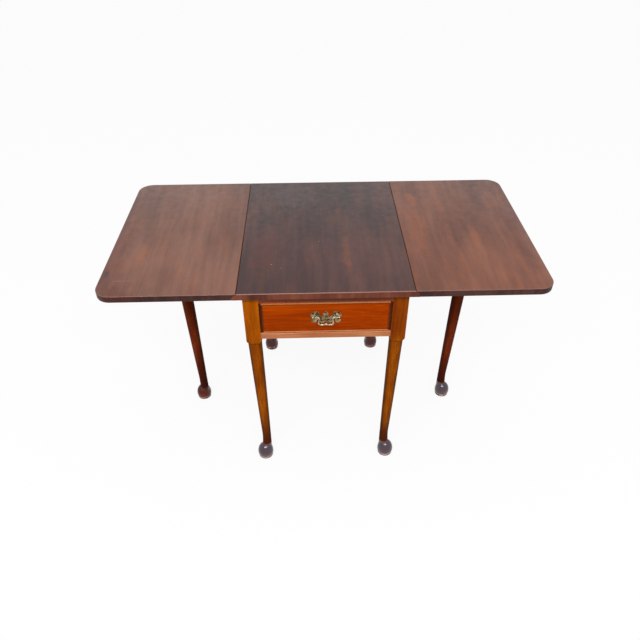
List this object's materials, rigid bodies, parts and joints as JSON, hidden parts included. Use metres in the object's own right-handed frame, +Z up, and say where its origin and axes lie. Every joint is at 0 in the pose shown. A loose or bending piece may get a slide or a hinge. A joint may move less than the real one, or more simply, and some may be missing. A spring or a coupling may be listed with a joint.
{
  "type": "drop-leaf table",
  "caption": "Drop-leaf table with rule-jointed leaves held up by swing legs, turned legs on pad feet, and an end drawer with a plate-and-bail pull.",
  "frame": {"origin": "on the floor, under the middle of the open top", "axes": "+X right along the open top's length, +Y back from the drawer end, +Z up"},
  "size_m": [1.258, 0.65, 0.737],
  "materials": {
    "top_mahogany": "worn polish, dark grey-brown",
    "leaf_mahogany": "worn polish, warm brown with orange patches",
    "leg_mahogany": "polished, orange-brown with dark edges",
    "swing_mahogany": "polished, dark red-brown",
    "rail_mahogany": "polished, light tan",
    "frame_mahogany": "polished, dark brown",
    "drawer_front_mahogany": "polished, bright orange-brown",
    "bead_mahogany": "polished bead with worn edges",
    "inner_wood": "unpolished",
    "drawer_wood": "unpolished oak",
    "hinge_iron": "old dark iron",
    "screw_steel": "dulled steel",
    "antique_brass": "antique brass, dark in the hollows"
  },
  "bodies": {
    "frame": {"top_centre": "top_mahogany", "leg_front_left": "leg_mahogany", "leg_front_right": "leg_mahogany", "leg_back_left": "leg_mahogany", "leg_back_right": "leg_mahogany", "fixed_side_rail_left": "swing_mahogany", "fixed_side_rail_right": "swing_mahogany", "front_top_rail": "rail_mahogany", "front_lower_rail": "rail_mahogany", "back_apron": "frame_mahogany", "opening_stile_left": "frame_mahogany", "opening_stile_right": "frame_mahogany", "inner_rail_left": "inner_wood", "inner_rail_right": "inner_wood", "side_blocks_left": "inner_wood", "side_blocks_right": "inner_wood", "drawer_runner_left": "inner_wood", "drawer_runner_right": "inner_wood", "drawer_kicker_left": "inner_wood", "drawer_kicker_right": "inner_wood", "drawer_stops": "inner_wood", "corner_blocks": "inner_wood", "top_glue_blocks": "inner_wood", "hinge_plates_centre_left": "hinge_iron", "hinge_plates_centre_right": "hinge_iron", "hinge_pins_left": "screw_steel", "hinge_pins_right": "screw_steel", "hinge_screws_centre": "screw_steel", "fly_rail_pin_left": "screw_steel", "fly_rail_pin_right": "screw_steel", "top_fixing_screws": "screw_steel"},
    "leaf_left": {"leaf_left": "leaf_mahogany", "hinge_plates_leaf_left": "hinge_iron", "hinge_screws_leaf_left": "screw_steel"},
    "leaf_right": {"leaf_right": "leaf_mahogany", "hinge_plates_leaf_right": "hinge_iron", "hinge_screws_leaf_right": "screw_steel"},
    "swing_left": {"swing_leg_left": "swing_mahogany", "fly_rail_left": "swing_mahogany"},
    "swing_right": {"swing_leg_right": "swing_mahogany", "fly_rail_right": "swing_mahogany"},
    "drawer": {"drawer_front": "drawer_front_mahogany", "drawer_cock_bead": "bead_mahogany", "drawer_side_left": "drawer_wood", "drawer_side_right": "drawer_wood", "drawer_back": "drawer_wood", "drawer_bottom": "drawer_wood", "pull_backplate": "antique_brass", "pull_posts": "antique_brass", "pull_nuts": "antique_brass"},
    "bail": {"pull_bail": "antique_brass"}
  },
  "joints": [
    {"name": "leaf_left_lift", "type": "hinge", "parent": "frame", "child": "leaf_left", "pos_m": [-0.244, 0, 0.72], "axis": [0, 1, 0], "range_deg": [0, 2]},
    {"name": "leaf_right_lift", "type": "hinge", "parent": "frame", "child": "leaf_right", "pos_m": [0.244, 0, 0.72], "axis": [0, -1, 0], "range_deg": [0, 2]},
    {"name": "swing_left_pivot", "type": "hinge", "parent": "frame", "child": "swing_left", "pos_m": [-0.2205, 0.017, 0.637], "axis": [0, 0, 1], "range_deg": [0, 90]},
    {"name": "swing_right_pivot", "type": "hinge", "parent": "frame", "child": "swing_right", "pos_m": [0.2205, -0.017, 0.637], "axis": [0, 0, 1], "range_deg": [0, 90]},
    {"name": "drawer_slide", "type": "slide", "parent": "frame", "child": "drawer", "axis": [0, -1, 0], "range_m": [0, 0.3]},
    {"name": "bail_swing", "type": "hinge", "parent": "drawer", "child": "bail", "pos_m": [0, -0.314, 0.643], "axis": [-1, 0, 0], "range_deg": [-12, 170]}
  ]
}
